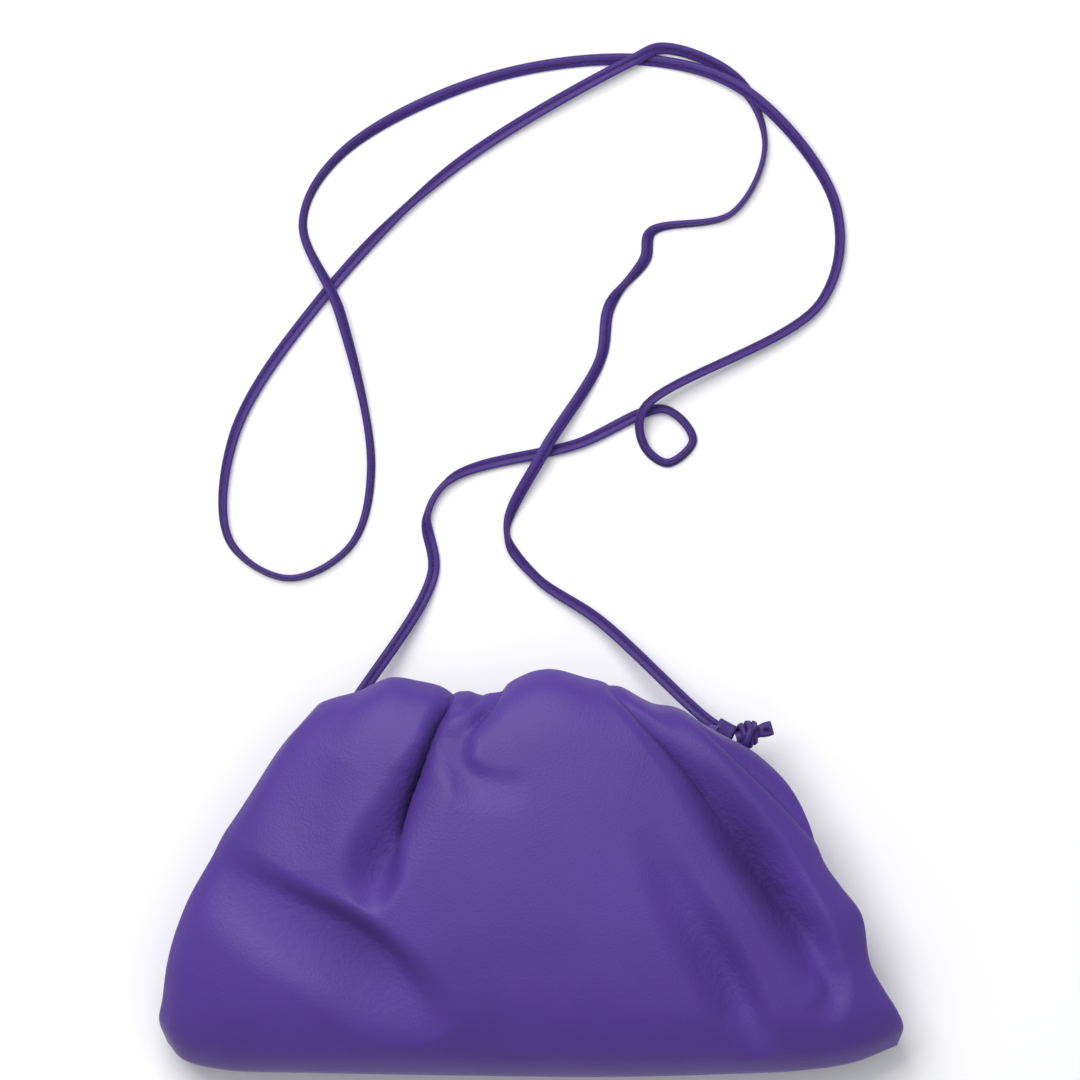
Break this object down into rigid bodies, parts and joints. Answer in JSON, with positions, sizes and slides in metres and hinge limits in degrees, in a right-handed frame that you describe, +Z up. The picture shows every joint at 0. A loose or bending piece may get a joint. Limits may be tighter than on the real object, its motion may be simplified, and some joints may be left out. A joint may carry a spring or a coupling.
{
  "type": "gathered leather pouch bag with shoulder strap",
  "caption": "Soft gathered leather pouch bag lying on its back, mouth rolled over a hidden frame, with a thin knotted shoulder strap laid out in loose loops",
  "frame": {"origin": "middle of the bag's box, on the surface that the bag lies on; the strap is left out of that box", "axes": "+X along the mouth to the right end as seen from the front, +Y from the bottom seam to the gathered top, +Z up from the surface, out of the front panel"},
  "size_m": [0.2195, 0.3056, 0.0503],
  "materials": {
    "panel_leather": "soft smooth purple leather with a low sheen",
    "strap_leather": "smooth purple leather strap, folded and stitched",
    "frame_metal": "plain hidden metal"
  },
  "bodies": {
    "root": {"front_panel": "panel_leather", "back_panel": "panel_leather", "mouth_frame": "frame_metal", "strap_loop_right": "strap_leather", "strap_loop_left": "strap_leather", "shoulder_strap": "strap_leather", "knot_right": "strap_leather", "knot_left": "strap_leather"}
  },
  "joints": []
}
